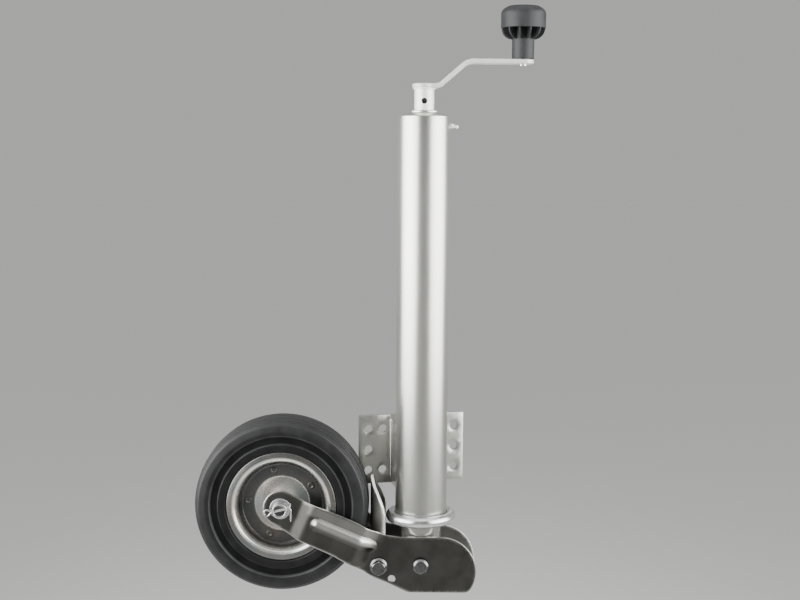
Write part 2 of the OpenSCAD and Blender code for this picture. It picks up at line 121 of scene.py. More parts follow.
def rounded(points, radius=0.6, closed=True, steps=4):
    """The outline with its corners rounded; a point may carry its own radius as a third value."""
    count, out = len(points), []
    for i, point in enumerate(points):
        here = Vector(point[:2])
        own = point[2] if len(point) > 2 else radius
        if own == 0 or (not closed and i in (0, count - 1)):
            out.append(tuple(here))
            continue
        back = Vector(points[i - 1][:2]) - here
        ahead = Vector(points[(i + 1) % count][:2]) - here
        half = back.angle(ahead) / 2
        if half > NEARLY_STRAIGHT:
            out.append(tuple(here))
            continue
        reach = min(own / math.tan(half), MOST_OF_SIDE * back.length, MOST_OF_SIDE * ahead.length)
        start, end = here + back.normalized() * reach, here + ahead.normalized() * reach
        for k in range(steps + 1):
            t = k / steps
            out.append(tuple(start * (1 - t) ** 2 + here * 2 * t * (1 - t) + end * t**2))
    return out


def spaced(loop, most):
    """The closed loop with no side longer than most."""
    out = []
    for (x0, y0), (x1, y1) in zip(loop, loop[1:] + loop[:1]):
        pieces = max(1, math.ceil(math.hypot(x1 - x0, y1 - y0) / most))
        out += [(x0 + (x1 - x0) * i / pieces, y0 + (y1 - y0) * i / pieces) for i in range(pieces)]
    return out


def signed_area(loop):
    return sum(x0 * y1 - x1 * y0 for (x0, y0), (x1, y1) in zip(loop, loop[1:] + loop[:1])) / 2


def inset(loop, distance):
    """The loop moved to its left by distance."""
    out = []
    for before, here, after in zip(loop[-1:] + loop[:-1], loop, loop[1:] + loop[:1]):
        d0 = (Vector(here) - Vector(before)).normalized()
        d1 = (Vector(after) - Vector(here)).normalized()
        side = Vector((-d0.y - d1.y, d0.x + d1.x))
        left = Vector((-d0.y, d0.x))
        side = side.normalized() if side.length > TINY else left
        stretch = max(0.5, side.dot(left))
        out.append(tuple(Vector(here) + side * distance / stretch))
    return out


def thickened(path, thickness):
    """The closed outline between an open path and its copy, moved to its left."""
    before = tuple(2 * Vector(path[0]) - Vector(path[1]))
    after = tuple(2 * Vector(path[-1]) - Vector(path[-2]))
    return path + inset([before] + path + [after], thickness)[1:-1][::-1]


def contains(loop, points):
    """Which of the points lie inside the loop."""
    hit = np.zeros(len(points), bool)
    x, y = points[:, 0], points[:, 1]
    for (x0, y0), (x1, y1) in zip(loop, loop[1:] + loop[:1]):
        if y0 != y1:
            hit ^= ((y0 > y) != (y1 > y)) & (x < (x1 - x0) * (y - y0) / (y1 - y0) + x0)
    return hit


# ---------------------------------------------------------------- solids, as (vertices, faces)


def joined(*solids):
    verts, faces = [], []
    for v, f, *_ in solids:
        faces += [[i + len(verts) for i in face] for face in f]
        verts += v
    return verts, faces


def moved(solid, matrix):
    return [tuple(matrix @ Vector(v)) for v in solid[0]], solid[1]


def around(steps, count, closed=True):
    """Faces between the copies of a profile of count points, one copy a step, right round an axis."""
    faces = []
    for i in range(steps):
        a, b = i * count, (i + 1) % steps * count
        for k in range(count if closed else count - 1):
            m = (k + 1) % count
            faces.append([a + k, b + k, b + m, a + m])
    return faces


def lathe(profile, steps, closed=True):
    """A profile of (radius, height) turned about Z."""
    verts = []
    for i in range(steps):
        c, s = math.cos(FULL_TURN * i / steps), math.sin(FULL_TURN * i / steps)
        verts += [(r * c, r * s, z) for r, z in profile]
    return verts, around(steps, len(profile), closed)


def prism(outline, z0, z1):
    """An outline raised from z0 to z1."""
    n = len(outline)
    verts = [(x, y, z0) for x, y in outline] + [(x, y, z1) for x, y in outline]
    sides = [[i, (i + 1) % n, n + (i + 1) % n, n + i] for i in range(n)]
    return verts, sides + [list(range(n)), list(range(n, 2 * n))]


def wire(path, radius, sides, closed=False):
    """A round wire along a path of points; radius may be a list, one value a point."""
    points = [Vector(p) for p in path]
    count = len(points)
    radii = radius if isinstance(radius, list) else [radius] * count
    verts, faces = [], []
    side = None
    for i, point in enumerate(points):
        before = points[i - 1] if closed or i else point
        after = points[(i + 1) % count] if closed or i < count - 1 else point
        along = (after - before).normalized()
        side = along.orthogonal() if side is None else side - along * side.dot(along)
        side.normalize()
        other = along.cross(side)
        for k in range(sides):
            a = FULL_TURN * k / sides
            verts.append(tuple(point + (side * math.cos(a) + other * math.sin(a)) * radii[i]))
    for i in range(count if closed else count - 1):
        a, b = i * sides, (i + 1) % count * sides
        for k in range(sides):
            m = (k + 1) % sides
            faces.append([a + k, a + m, b + m, b + k])
    if not closed:
        faces += [list(range(sides)), list(range((count - 1) * sides, count * sides))]
    return verts, faces


def weld(start, end, radius):
    """A weld bead between two points, with its ripples and tapered ends."""
    pitch, depth, step = 1.6, 0.07, 0.5
    start, end = Vector(start), Vector(end)
    length = (end - start).length
    steps = max(8, int(length / step))
    path = [start.lerp(end, i / steps) for i in range(steps + 1)]
    radii = []
    for i in range(steps + 1):
        s = length * i / steps
        taper = min(1.0, 0.35 + 0.3 * min(s, length - s))
        radii.append(radius * taper * (1 + depth * math.sin(FULL_TURN * s / pitch)))
    return wire(path, radii, 10)


HOLE_STEP = 1.3
ROW_PITCH = 0.866
SLOPE_STEP = 0.02
# The rows of a rounded edge between the two faces: degrees up its quarter arc, and on which face's side
EDGE_ARC = ((45, 1), (0, 1), (0, -1), (45, -1))
# A light tone mark just beside the outline: on the fork and tongue, part of the painted highlight along
# their edges
TONE_MARK_BY_EDGE = 0.22


def grid_points(loops, grid, margin):
    """A triangular grid of points inside the first loop and outside the others, clear of all of them."""
    rim = np.array([p for lp in loops for p in lp])
    low, high = rim.min(0), rim.max(0)
    rows = np.arange(low[1], high[1], grid * ROW_PITCH)
    points = np.array([
        (x + (k % 2) * grid / 2, y) for k, y in enumerate(rows) for x in np.arange(low[0], high[0], grid)
    ])
    keep = contains(loops[0], points)
    for hole in loops[1:]:
        keep &= ~contains(hole, points)
    points = points[keep]
    nearest = np.min([np.hypot(*(points - p).T) for p in rim], axis=0)
    return points[nearest > margin]


def sheet(outline, holes, thickness, surface, edge, grid, tone_mark=None):
    """A plate with rounded edges, bent or pressed so that its middle lies on surface(u, v).

    It also holds a tone mark for each point, which draws its colour towards the material's edge colour:
    the given function of (u, v, side) on its two faces, a little beside the outline, and fully on the
    edges. On the fork plates and tongue this is a painted highlight with edge wear.
    """
    loops = [spaced(outline, grid * 0.8)] + [spaced(h, HOLE_STEP) for h in holes]
    loops = [lp if (signed_area(lp) > 0) == (i == 0) else lp[::-1] for i, lp in enumerate(loops)]
    insets = [inset(lp, edge) for lp in loops]
    points = grid_points(loops, grid, edge + grid * 0.5)

    flat, rings = [], []
    for lp in insets:
        rings.append(list(range(len(flat), len(flat) + len(lp))))
        flat += lp
    ties = [(r[i], r[(i + 1) % len(r)]) for r in rings for i in range(len(r))]
    flat += [tuple(p) for p in points]
    made, _, triangles, origins, *_ = delaunay_2d_cdt([Vector(p) for p in flat], ties, [], 1, TINY)
    source = {i: k for k, ids in enumerate(origins) for i in ids}
    flat = [tuple(v) for v in made]
    rings = [[source[i] for i in r] for r in rings]
    centres = np.array([np.mean([flat[i] for i in t], axis=0) for t in triangles])
    drop = np.zeros(len(centres), bool)
    for hole in insets[1:]:
        drop |= contains(hole, centres)
    caps = [list(t) for t, out in zip(triangles, drop) if not out]

    def lifted(uv, h):
        """The point at u, v, moved by h along the surface's normal."""
        u, v = uv
        du = Vector(surface(u + SLOPE_STEP, v)) - Vector(surface(u - SLOPE_STEP, v))
        dv = Vector(surface(u, v + SLOPE_STEP)) - Vector(surface(u, v - SLOPE_STEP))
        return tuple(Vector(surface(u, v)) + du.cross(dv).normalized() * h)

    half = thickness / 2
    n = len(flat)
    verts = [lifted(p, half) for p in flat] + [lifted(p, -half) for p in flat]
    faces = caps + [[i + n for i in reversed(f)] for f in caps]
    for ring, outer, inner in zip(rings, loops, insets):
        bands = [ring]
        for angle, sign in EDGE_ARC:
            a = math.radians(angle)
            back = 1 - math.cos(a)
            h = sign * (half - edge + edge * math.sin(a))
            bands.append(list(range(len(verts), len(verts) + len(outer))))
            verts += [
                lifted((o[0] + (q[0] - o[0]) * back, o[1] + (q[1] - o[1]) * back), h)
                for o, q in zip(outer, inner)
            ]
        bands.append([i + n for i in ring])
        for upper, lower in zip(bands, bands[1:]):
            for i in range(len(upper)):
                m = (i + 1) % len(upper)
                faces.append([upper[i], upper[m], lower[m], lower[i]])
    marks = [tone_mark(*p, side) if tone_mark else 0.0 for side in (1, -1) for p in flat]
    # The ring just inside the outline gets a light tone mark and the edge bands the full mark: a painted
    # highlight line on the fork and tongue, with edge wear
    for i in rings[0]:
        marks[i] = marks[i + n] = TONE_MARK_BY_EDGE
    return verts, faces, marks + [1.0] * (len(verts) - 2 * n)


def hexagon_head(flats, tall, bore=0.0):
    """A hexagon nut or bolt head standing on Z = 0, with its corners chamfered at the top."""
    steps, sixth, chamfer = 72, math.pi / 3, math.radians(30)
    inner = flats / 2 * 0.96
    verts = []
    for i in range(steps):
        a = FULL_TURN * i / steps
        from_flat = (a + sixth / 2) % sixth - sixth / 2
        r = flats / 2 / math.cos(from_flat)
        drop = (r - inner) * math.tan(chamfer)
        rows = [(bore, 0), (r - 0.3, 0), (r, 0.3), (r, tall - drop - 0.2), (r - 0.15, tall - drop)]
        rows += [(inner, tall), (bore + 0.6 if bore else 0, tall)]
        rows += [(bore, tall - 0.6)] if bore else []
        verts += [(q * math.cos(a), q * math.sin(a), z) for q, z in rows]
    return verts, around(steps, len(verts) // steps)


# ---------------------------------------------------------------- materials


PATCH_BAND = (0.32, 0.68)
ROUGH_BAND = (0.7, 1.3)
RELIEF = 0.3
# Heights in mm over which the painted shade near the ground fades out
SHADE_BAND = (90, 460)
RINGS_REACH = 150


def tinted_where_marked(tree, colour, edge):
    """The colour, drawn towards the edge's own by the piece's tone mark: a painted highlight with edge wear
    on the fork and tongue, a darker tone on the crank's edges.
    """
    marks = tree.nodes.new("ShaderNodeAttribute")
    marks.attribute_name = "tone_mark"
    marked_tone = tree.nodes.new("ShaderNodeMix")
    marked_tone.data_type = "RGBA"
    marked_tone.inputs["B"].default_value = (*edge, 1)
    tree.links.new(marks.outputs["Fac"], marked_tone.inputs["Factor"])
    tree.links.new(colour, marked_tone.inputs["A"])
    return marked_tone.outputs["Result"]


def shaded_near_ground(tree, place, colour, shade_near_ground):
    """Painted shade: the colour times the given factor up to the lower end of the band of heights, and as it
    is above the upper end.
    """
    split = tree.nodes.new("ShaderNodeSeparateXYZ")
    tree.links.new(place, split.inputs[0])
    fade = tree.nodes.new("ShaderNodeMapRange")
    for end, above in zip(("From Min", "From Max"), SHADE_BAND):
        fade.inputs[end].default_value = ground_z + above * MM
    fade.inputs["To Min"].default_value = shade_near_ground
    tree.links.new(split.outputs["Z"], fade.inputs["Value"])
    shaded_colour = tree.nodes.new("ShaderNodeVectorMath")
    shaded_colour.operation = "SCALE"
    tree.links.new(colour, shaded_colour.inputs[0])
    tree.links.new(fade.outputs["Result"], shaded_colour.inputs["Scale"])
    return shaded_colour.outputs["Vector"]


def painted_light_by_radius(tree, place, rings):
    """Painted highlight and shade: the level of rings at each point's distance from the axle, blended
    between them.
    """
    from_axle = tree.nodes.new("ShaderNodeVectorMath")
    from_axle.operation = "SUBTRACT"
    from_axle.inputs[1].default_value = axle_at
    tree.links.new(place, from_axle.inputs[0])
    across = tree.nodes.new("ShaderNodeVectorMath")
    across.operation = "CROSS_PRODUCT"
    across.inputs[1].default_value = away / (RINGS_REACH * MM)
    tree.links.new(from_axle.outputs["Vector"], across.inputs[0])
    radius = tree.nodes.new("ShaderNodeVectorMath")
    radius.operation = "LENGTH"
    tree.links.new(across.outputs["Vector"], radius.inputs[0])
    levels = tree.nodes.new("ShaderNodeValToRGB")
    while len(levels.color_ramp.elements) < len(rings):
        levels.color_ramp.elements.new(1.0)
    for element, (distance, level) in zip(levels.color_ramp.elements, rings):
        element.position = distance / RINGS_REACH
        element.color = (level, level, level, 1)
    tree.links.new(radius.outputs["Value"], levels.inputs["Fac"])
    return levels.outputs["Color"]


def material(
    name, colours, metallic, roughness, patch, grain, bump,
    stretch=(1, 1, 1), rings=(), edge=None, shade_near_ground=None, gloss=0.5,
):
    """Patches between two colours, and a finer grain in roughness and relief. Sizes are in mm.

    Rings are pairs of a distance from the axle and a factor on the colour there, which is also
    the specular level of what isn't metal: painted highlights and painted shade by radius, on the
    tyre with some dust. Edge is the colour that a piece's tone mark draws towards: a painted highlight
    with edge wear on the fork's edges and bead, a darker tone on the crank's rounded edges. The factor
    given for near the ground darkens the colour there: painted shade, darker towards the ground.
    """
    mat = bpy.data.materials.new(name)
    mat.use_nodes = True
    tree = mat.node_tree
    nodes, links = tree.nodes, tree.links
    shader = nodes["Principled BSDF"]
    shader.inputs["Metallic"].default_value = metallic
    shader.inputs["Specular IOR Level"].default_value = gloss
    place = nodes.new("ShaderNodeTexCoord").outputs["Object"]

    def noise(size, detail):
        mapping = nodes.new("ShaderNodeMapping")
        mapping.inputs["Scale"].default_value = [s / (size * MM) for s in stretch]
        links.new(place, mapping.inputs["Vector"])
        texture = nodes.new("ShaderNodeTexNoise")
        texture.inputs["Scale"].default_value = 1.0
        texture.inputs["Detail"].default_value = detail
        links.new(mapping.outputs["Vector"], texture.inputs["Vector"])
        return texture.outputs["Fac"]

    patches, fine = noise(patch, 5), noise(grain, 3)
    blend = nodes.new("ShaderNodeValToRGB")
    for element, at, colour in zip(blend.color_ramp.elements, PATCH_BAND, colours):
        element.position = at
        element.color = (*colour, 1)
    links.new(patches, blend.inputs["Fac"])
    colour = blend.outputs["Color"]
    if edge:
        colour = tinted_where_marked(tree, colour, edge)
    # Painted shade, darker towards the ground
    if shade_near_ground:
        colour = shaded_near_ground(tree, place, colour, shade_near_ground)
    # Painted highlights and shade by distance from the axle, which on the tyre's rubber also set its gloss
    if rings:
        level = painted_light_by_radius(tree, place, rings)
        tinted = nodes.new("ShaderNodeVectorMath")
        tinted.operation = "MULTIPLY"
        links.new(colour, tinted.inputs[0])
        links.new(level, tinted.inputs[1])
        colour = tinted.outputs["Vector"]
        if metallic == 0:
            links.new(level, shader.inputs["Specular IOR Level"])
    links.new(colour, shader.inputs["Base Color"])

    mixed = nodes.new("ShaderNodeMath")
    mixed.operation = "ADD"
    links.new(patches, mixed.inputs[0])
    links.new(fine, mixed.inputs[1])
    span = nodes.new("ShaderNodeMapRange")
    span.inputs["From Min"].default_value, span.inputs["From Max"].default_value = ROUGH_BAND
    span.inputs["To Min"].default_value, span.inputs["To Max"].default_value = roughness
    links.new(mixed.outputs["Value"], span.inputs["Value"])
    links.new(span.outputs["Result"], shader.inputs["Roughness"])

    relief = nodes.new("ShaderNodeBump")
    relief.inputs["Strength"].default_value = bump
    relief.inputs["Distance"].default_value = RELIEF * MM
    links.new(fine, relief.inputs["Height"])
    links.new(relief.outputs["Normal"], shader.inputs["Normal"])
    return mat


FINISHES = {
    # Darkened towards the ground: painted shade
    "satin_zinc": dict(
        colours=((0.57, 0.57, 0.53), (0.65, 0.65, 0.61)), metallic=0.96, roughness=(0.27, 0.34),
        patch=22, grain=0.6, stretch=(1, 1, 0.12), bump=0.02, shade_near_ground=0.68,
    ),
    # A very dark copy of the zinc for the near fork plate: painted dark reflection and shade. Its edge
    # colour gives a painted highlight with edge wear
    "fork_zinc": dict(
        colours=((0.070, 0.069, 0.064), (0.090, 0.089, 0.083)), metallic=1.0, roughness=(0.27, 0.36),
        patch=20, grain=0.8, bump=0.04, edge=(0.72, 0.72, 0.68),
    ),
    # A lighter copy of the same zinc for the far fork plate and the tongue: painted light. Its edge colour
    # gives a painted highlight with edge wear
    "bracket_zinc": dict(
        colours=((0.10, 0.10, 0.091), (0.135, 0.135, 0.123)), metallic=0.6, roughness=(0.30, 0.40),
        patch=16, grain=0.8, bump=0.04, edge=(0.78, 0.78, 0.74),
    ),
    # Its edge colour draws the arm's rounded edges darker
    "crank_zinc": dict(
        colours=((0.86, 0.86, 0.835), (0.93, 0.93, 0.91)), metallic=0.3, roughness=(0.36, 0.48),
        patch=8, grain=0.8, bump=0.04, edge=(0.66, 0.66, 0.64),
    ),
    # Dark zinc for the bolts and nuts: painted dark reflection
    "bolt_zinc": dict(
        colours=((0.12, 0.124, 0.128), (0.18, 0.177, 0.172)), metallic=1.0, roughness=(0.18, 0.30),
        patch=4, grain=0.5, bump=0.06,
    ),
    "bright_zinc": dict(
        colours=((0.50, 0.51, 0.51), (0.62, 0.62, 0.61)), metallic=0.9, roughness=(0.20, 0.28),
        patch=8, grain=0.5, bump=0.015,
    ),
    "ram_steel": dict(
        colours=((0.30, 0.30, 0.275), (0.36, 0.36, 0.335)), metallic=0.8, roughness=(0.20, 0.27),
        patch=14, grain=0.5, stretch=(1, 1, 0.1), bump=0.015,
    ),
    "machined_steel": dict(
        colours=((0.20, 0.20, 0.19), (0.29, 0.29, 0.28)), metallic=1.0, roughness=(0.28, 0.40),
        patch=5, grain=0.4, bump=0.06,
    ),
    "bearing_steel": dict(
        colours=((0.60, 0.60, 0.61), (0.68, 0.68, 0.69)), metallic=1.0, roughness=(0.08, 0.16),
        patch=5, grain=0.4, bump=0.01,
    ),
    "bronze": dict(
        colours=((0.58, 0.36, 0.16), (0.68, 0.46, 0.22)), metallic=1.0, roughness=(0.28, 0.42),
        patch=6, grain=0.5, bump=0.06,
    ),
    "guide_plastic": dict(
        colours=((0.70, 0.68, 0.58), (0.77, 0.75, 0.66)), metallic=0.0, roughness=(0.42, 0.55),
        patch=8, grain=0.6, bump=0.05,
    ),
    "knob_black": dict(
        colours=((0.020, 0.021, 0.022), (0.030, 0.031, 0.032)), metallic=0.0, roughness=(0.42, 0.54),
        patch=9, grain=0.35, bump=0.22, gloss=0.26,
    ),
    "tyre_rubber": dict(
        colours=((0.018, 0.018, 0.019), (0.036, 0.037, 0.038)), metallic=0.0, roughness=(0.38, 0.56),
        patch=18, grain=0.6, bump=0.18,
        # Painted shade in the sidewall's recess and painted highlights on its two steps; the greyer shoulder
        # is partly dust, partly painted sheen
        rings=(
            (74, 0.17), (84.2, 0.17), (85.2, 0.6), (86.4, 0.11), (94.4, 0.11), (95.8, 0.8), (97.5, 0.22),
            (112, 0.36),
        ),
    ),
    "rim_zinc": dict(
        colours=((0.40, 0.44, 0.43), (0.52, 0.475, 0.44)), metallic=0.8, roughness=(0.20, 0.30),
        patch=26, grain=0.7, bump=0.05,
        # Painted highlights on the hub dish, ring line and crest; painted shade on the annulus, dish and
        # flange
        rings=(
            (20, 1.25), (35, 1.0), (36.6, 1.5), (38.4, 0.22), (52, 0.17), (58, 0.20), (62, 1.4), (65, 1.2),
            (67.5, 0.32), (74, 0.32),
        ),
    ),
}
MATERIALS = {name: material(name, **finish) for name, finish in FINISHES.items()}


# ---------------------------------------------------------------- pieces


SHARP = math.radians(32)


def piece(name, solid, place, body, slot, replaces=()):
    """A finished piece, made of the solid put at its place and shaded smooth but for its sharp edges."""
    mesh = bpy.data.meshes.new(name)
    mesh.from_pydata([place @ Vector(v) for v in solid[0]], [], solid[1])
    if len(solid) > 2:
        mesh.attributes.new("tone_mark", "FLOAT", "POINT").data.foreach_set("value", solid[2])
    bm = bmesh.new()
    bm.from_mesh(mesh)
    bmesh.ops.remove_doubles(bm, verts=bm.verts, dist=TINY)
    bmesh.ops.recalc_face_normals(bm, faces=bm.faces)
    bm.to_mesh(mesh)
    bm.free()
    mesh.shade_smooth()
    mesh.set_sharp_from_angle(angle=SHARP)
    mesh.materials.append(MATERIALS[slot])
    obj = bpy.data.objects.new(name, mesh)
    bpy.context.scene.collection.objects.link(obj)
    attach(obj, body)
    if replaces:
        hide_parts(*replaces)


def finish_cad_nodes():
    """The CAD nodes that stay in view get their slot's material and smooth shading."""
    for row in frame["record"]["subparts"]:
        obj = frame["nodes"][row["node"]]
        obj.data.materials.clear()
        obj.data.materials.append(MATERIALS[row["material_slot"]])
        obj.data.shade_smooth()
        obj.data.set_sharp_from_angle(angle=SHARP)


finish_cad_nodes()

# Outer tube, cap and collar
WALL = 4
TUBE_R = (tube_high.x - tube_low.x) / 2 / MM
TUBE_BORE = TUBE_R - WALL
COLLAR_R = (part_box("guide_collar")[1].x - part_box("guide_collar")[0].x) / 2 / MM
RAM_R = 27.5
TUBE_SIDES = 128
TUBE_Z0, TUBE_Z1 = height("outer_tube", 0), height("outer_tube", 1)
CAP_Z = height("top_cap", 1)


def open_tube(bore, radius, low, high, edge, steps=TUBE_SIDES):
    return lathe(rounded([(bore, low), (radius, low), (radius, high), (bore, high)], edge), steps)


def top_cap():
    """A plug in the tube, a shoulder and a raised boss about the spindle."""
    bore, plug, boss = 9.3, TUBE_BORE - 0.1, 19.5
    profile = rounded([
        (bore, CAP_Z - 14, 0), (plug, CAP_Z - 14, 0), (plug, TUBE_Z1, 0), (TUBE_R, TUBE_Z1, 0),
        (TUBE_R, TUBE_Z1 + 5, 5), (boss + 1, CAP_Z - 2.6, 2), (boss, CAP_Z - 2.3, 0.6), (boss, CAP_Z, 0.9),
        (bore, CAP_Z, 0.5),
    ], steps=8)
    return lathe(profile, TUBE_SIDES)


def guide_collar():
    """A rolled lip round the tube's lower end, and a short flat skirt below that end."""
    lip, skirt, gap = 7.4, 2.6, 0.1
    centre, middle = COLLAR_R - lip, TUBE_Z0 + 1.2
    under = math.degrees(math.asin((TUBE_Z0 - skirt - middle) / lip))
    over = math.degrees(math.acos((TUBE_R + gap - centre) / lip))
    profile = [(RAM_R + gap, TUBE_Z0 - gap), (RAM_R + gap, TUBE_Z0 - 1.8), (RAM_R + 0.9, TUBE_Z0 - skirt)]
    profile += arc(centre, middle, lip, -180 - under, over, 40)
    profile += [(TUBE_R + gap, TUBE_Z0 - gap)]
    return lathe(profile, TUBE_SIDES)


outer_tube = open_tube(TUBE_BORE, TUBE_R, TUBE_Z0, TUBE_Z1, 0.25)
piece("outer_tube_shell", outer_tube, TUBE, "outer", "satin_zinc", ["outer_tube"])
piece("top_cap_dome", top_cap(), TUBE, "outer", "satin_zinc", ["top_cap"])
piece("guide_collar_ring", guide_collar(), TUBE, "outer", "bright_zinc", ["guide_collar"])


def grease_nipple():
    """A ball-headed nipple with a hexagon; it stands on Z = 0."""
    body = lathe(rounded([
        (0, -2, 0), (2.5, -2), (2.5, 1.2, 0), (2.2, 1.2, 0), (2.2, 5.4, 0.4), (1.7, 6.2, 0.3),
        (2.6, 7.6, 0.8), (2.3, 9.6, 0.8), (1.1, 10.6, 0.4), (0, 10.6, 0),
    ], closed=False), 32, closed=False)
    return joined(body, moved(hexagon_head(6.2, 3.2), Matrix.Translation((0, 0, 0.6))))


NIPPLE_BELOW_END, NIPPLE_TILT = 8, math.radians(100)
nipple_foot = Matrix.Translation((TUBE_R, 0, TUBE_Z1 - NIPPLE_BELOW_END))
NIPPLE = FORK @ nipple_foot @ Matrix.Rotation(NIPPLE_TILT, 4, "Y")
piece("grease_nipple_fitting", grease_nipple(), NIPPLE, "outer", "crank_zinc", ["grease_nipple"])

# Mounting plate and its ribs, whose frame differs from the model's own only in its unit
plate_low, plate_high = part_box("mounting_plate")
PLATE_W, PLATE_H = (plate_high.x - plate_low.x) / MM, (plate_high.z - plate_low.z) / MM
PLATE_T = (plate_high.y - plate_low.y) / MM
patterns = {m["name"]: m["dims"] for m in frame["record"]["mounts"]}


def mounting_plate():
    """The plate with the record's ten holes."""
    outer, inner = patterns["plate_bolts_outer"], patterns["plate_bolts_inner"]
    r = outer["hole_r_mm"]
    places = [(outer["spacing_x_mm"], z) for z in (-outer["spacing_y_mm"], 0, outer["spacing_y_mm"])]
    places += [(inner["spacing_x_mm"], z) for z in (-inner["spacing_y_mm"], inner["spacing_y_mm"])]
    holes = [circle(side * x / 2, z / 2, r, 36) for x, z in places for side in (-1, 1)]
    w, h = PLATE_W / 2, PLATE_H / 2
    outline = rounded([(-w, -h), (w, -h), (w, h), (-w, h)], 2.0)
    return sheet(outline, holes, PLATE_T, lambda u, v: (u, -PLATE_T / 2, v), edge=0.7, grid=6.0)


def plate_ribs():
    """Two ribs from the plate into the tube, with weld beads along both of their ends."""
    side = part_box("plate_ribs")[1].x / MM - PLATE_T / 2
    h = PLATE_H / 2
    axis_y = foot.translation.y / MM
    meets = axis_y + math.sqrt(TUBE_R**2 - side**2) - 1.0
    outline = [(meets, -h), (-PLATE_T, -h), (-PLATE_T, h), (meets, h)]
    bead_r, at_plate = 2.0, -PLATE_T - 0.4
    solids = []
    for s in (-1, 1):
        solids.append(sheet(outline, [], PLATE_T, lambda u, v, x=s * side: (x, u, v), edge=0.7, grid=12.0))
        for x in (side - PLATE_T / 2, side + PLATE_T / 2):
            at_tube = axis_y + math.sqrt((TUBE_R + 0.6) ** 2 - x * x) + 0.8
            solids.append(weld((s * x, at_tube, 4 - h), (s * x, at_tube, h - 4), bead_r))
            solids.append(weld((s * x, at_plate, 6 - h), (s * x, at_plate, h - 6), bead_r))
    return joined(*solids)


piece("mounting_plate_sheet", mounting_plate(), PLATE, "outer", "satin_zinc", ["mounting_plate"])
piece("plate_ribs_welded", plate_ribs(), PLATE, "outer", "satin_zinc", ["plate_ribs"])

inner_tube = open_tube(RAM_R - WALL, RAM_R, height("inner_tube", 0), height("inner_tube", 1), 0.5)
piece("inner_tube_shell", inner_tube, TUBE, "ram", "ram_steel", ["inner_tube"])

# Crank
ARM_Z0, ARM_Z1 = height("crank_arm", 0), height("crank_arm", 1)
ARM_T = 6
ARM_RISE = ARM_Z1 - ARM_Z0 - ARM_T
ARM_HALF_W = 13.5
EYE_R, TIP_R = 16, 14.5
REACH = math.hypot(knob_at.x - foot.translation.x, knob_at.y - foot.translation.y) / MM


def arm_path():
    """Points along the middle of the bent bar, in X and Z: flat, a rise, flat."""
    low, high = ARM_Z0 + ARM_T / 2, ARM_Z1 - ARM_T / 2
    corner, r1, r2, angle = 19.7, 14, 20, 41
    bend = math.tan(math.radians(angle / 2))
    x1, x2 = corner - r1 * bend, corner + ARM_RISE / math.tan(math.radians(angle)) + r2 * bend
    path = [(-EYE_R, low)]
    path += arc(x1, low + r1, r1, -90, angle - 90, 40)
    path += arc(x2, high - r2, r2, 90 + angle, 90, 40)
    return path + [(REACH + TIP_R, high)]


def crank_arm():
    """The bent bar, with a round eye over the sleeve and a round tip under the knob."""
    path = [Vector(p) for p in arm_path()]
    marks = [0.0]
    for a, b in zip(path, path[1:]):
        marks.append(marks[-1] + (b - a).length)

    def on_path(u):
        k = max(1, min(len(marks) - 1, int(np.searchsorted(marks, u))))
        t = (u - marks[k - 1]) / (marks[k] - marks[k - 1])
        return path[k - 1].lerp(path[k], t)

    def surface(u, v):
        p = on_path(u)
        return p.x, v, p.y

    eye, tip = math.degrees(math.asin(ARM_HALF_W / EYE_R)), math.degrees(math.asin(ARM_HALF_W / TIP_R))
    outline = arc(marks[-1] - TIP_R, 0, TIP_R, -tip, tip, 24)
    outline += arc(EYE_R, 0, EYE_R, eye, 360 - eye, 32)
    return sheet(outline, [], ARM_T, surface, edge=2.0, grid=3.0)


def sleeve_weld():
    """The bead that joins the sleeve to the arm's underside."""
    radius, below, steps = 13.4, 0.6, 90
    path = [(x, y, ARM_Z0 - below) for x, y in circle(0, 0, radius, steps)]
    return wire(path, [1.5 + 0.12 * math.sin(i * 1.3) for i in range(steps)], 10, closed=True)


def roll_pin():
    """A hollow pin, closed half way."""
    bore, radius, half_length, half_web = 3.2, 3.98, 11.6, 0.6
    half = rounded([
        (0, half_web, 0), (bore, half_web, 0.3), (bore, half_length), (radius, half_length), (radius, 0, 0)
    ], 0.3, closed=False)
    other = [(r, -z) for r, z in half[::-1]]
    pin_z = (height("roll_pin", 0) + height("roll_pin", 1)) / 2
    across = Matrix.Translation((0, 0, pin_z)) @ Matrix.Rotation(QUARTER, 4, "X")
    return moved(lathe(half + other[1:], 48, closed=False), across)


piece("crank_arm_bar", crank_arm(), FORK, "crank", "crank_zinc", ["crank_arm"])
piece("crank_weld", sleeve_weld(), FORK, "crank", "crank_zinc")
piece("roll_pin_hollow", roll_pin(), FORK, "crank", "machined_steel", ["roll_pin"])

# Knob, standing on Z = 0 in its own frame
KNOB_R = (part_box("knob_cap")[1].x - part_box("knob_cap")[0].x) / 2 / MM
KNOB_H = height("knob_cap", 1) - height("knob_body", 0)
CAP_FROM = height("knob_cap", 0) - height("knob_body", 0)
STEM_R, STEM_H, STEM_BORE = 14.7, 25.5, 4.2
FINS, FIN_HALF = 12, 0.8


